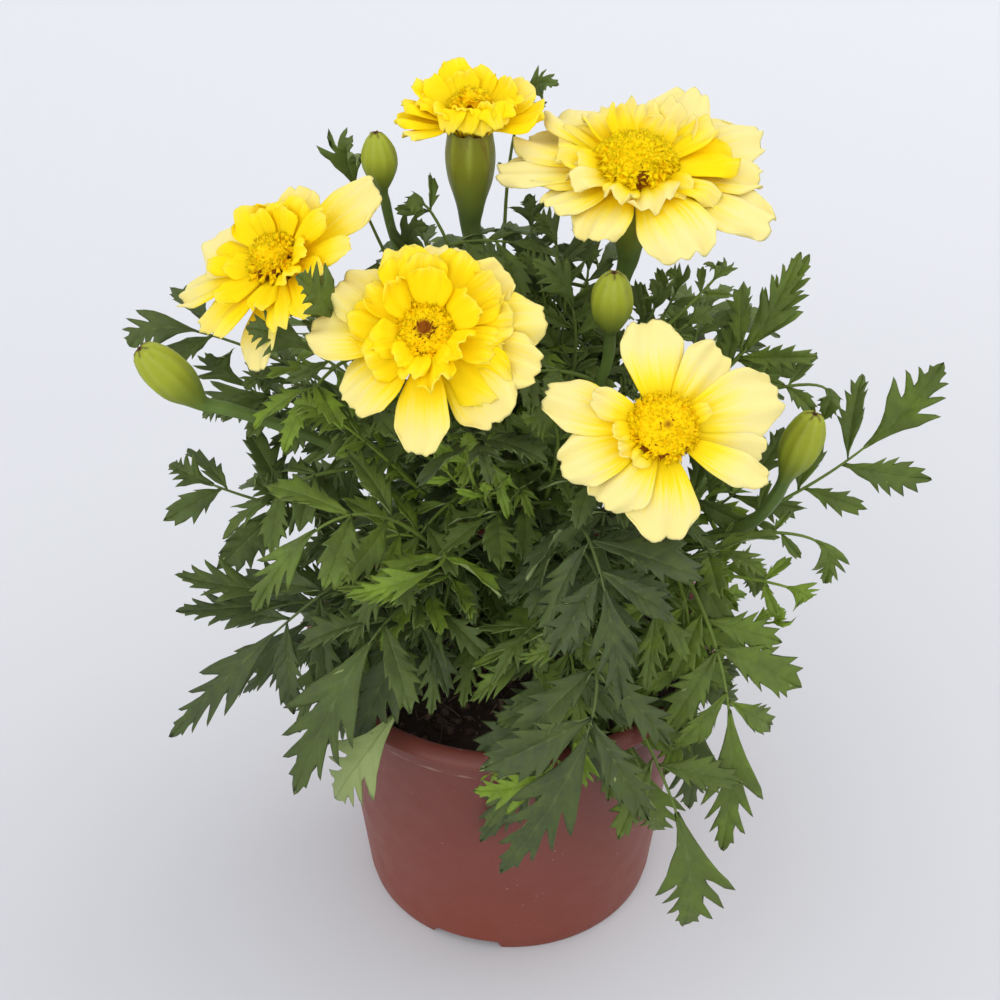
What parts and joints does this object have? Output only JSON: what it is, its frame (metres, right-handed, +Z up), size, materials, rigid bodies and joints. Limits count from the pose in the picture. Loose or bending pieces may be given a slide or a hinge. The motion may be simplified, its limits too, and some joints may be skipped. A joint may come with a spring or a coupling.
{
  "type": "potted marigold",
  "caption": "Bushy marigold with open yellow blooms, buds and feathery toothed leaves, growing in a round tapered plastic nursery pot filled with soil.",
  "frame": {"origin": "middle of the pot's underside, on the surface it stands on", "axes": "+Z up along the pot's axis; -Y is the side the picture was taken from; +X is to the right in the picture"},
  "size_m": [0.2216, 0.1696, 0.2519],
  "materials": {
    "pot": "thin pressed red-brown plastic with a soft sheen and faint soil specks",
    "soil": "moist dark peat compost with fibres and crumbs, matt",
    "stem": "green ribbed stem, satin",
    "foliage": "mid to dark green leaves with paler undersides, matt to satin",
    "petal": "lemon yellow, paler at the tips and golden at the root, soft and slightly velvety",
    "crest": "golden curled florets with a few brown specks"
  },
  "bodies": {
    "root": {"pot": "pot", "soil": "soil", "main_stem": "stem", "stem_bloom_a": "foliage", "stem_bloom_b": "foliage", "stem_bloom_c": "foliage", "stem_bloom_d": "foliage", "stem_bloom_e": "foliage", "stem_bud_1": "foliage", "stem_bud_2": "foliage", "stem_bud_3": "foliage", "stem_bud_4": "foliage", "stem_left": "foliage", "stem_front_left": "foliage", "stem_front": "foliage", "stem_right": "foliage", "stem_upper_right": "foliage", "stem_back": "foliage", "stem_back_left": "foliage", "stem_back_right": "foliage", "bloom_a_petals": "petal", "bloom_b_petals": "petal", "bloom_c_petals": "petal", "bloom_d_petals": "petal", "bloom_e_petals": "petal", "bloom_a_crest": "crest", "bloom_b_crest": "crest", "bloom_c_crest": "crest", "bloom_d_crest": "crest", "bloom_e_crest": "crest"}
  },
  "joints": []
}
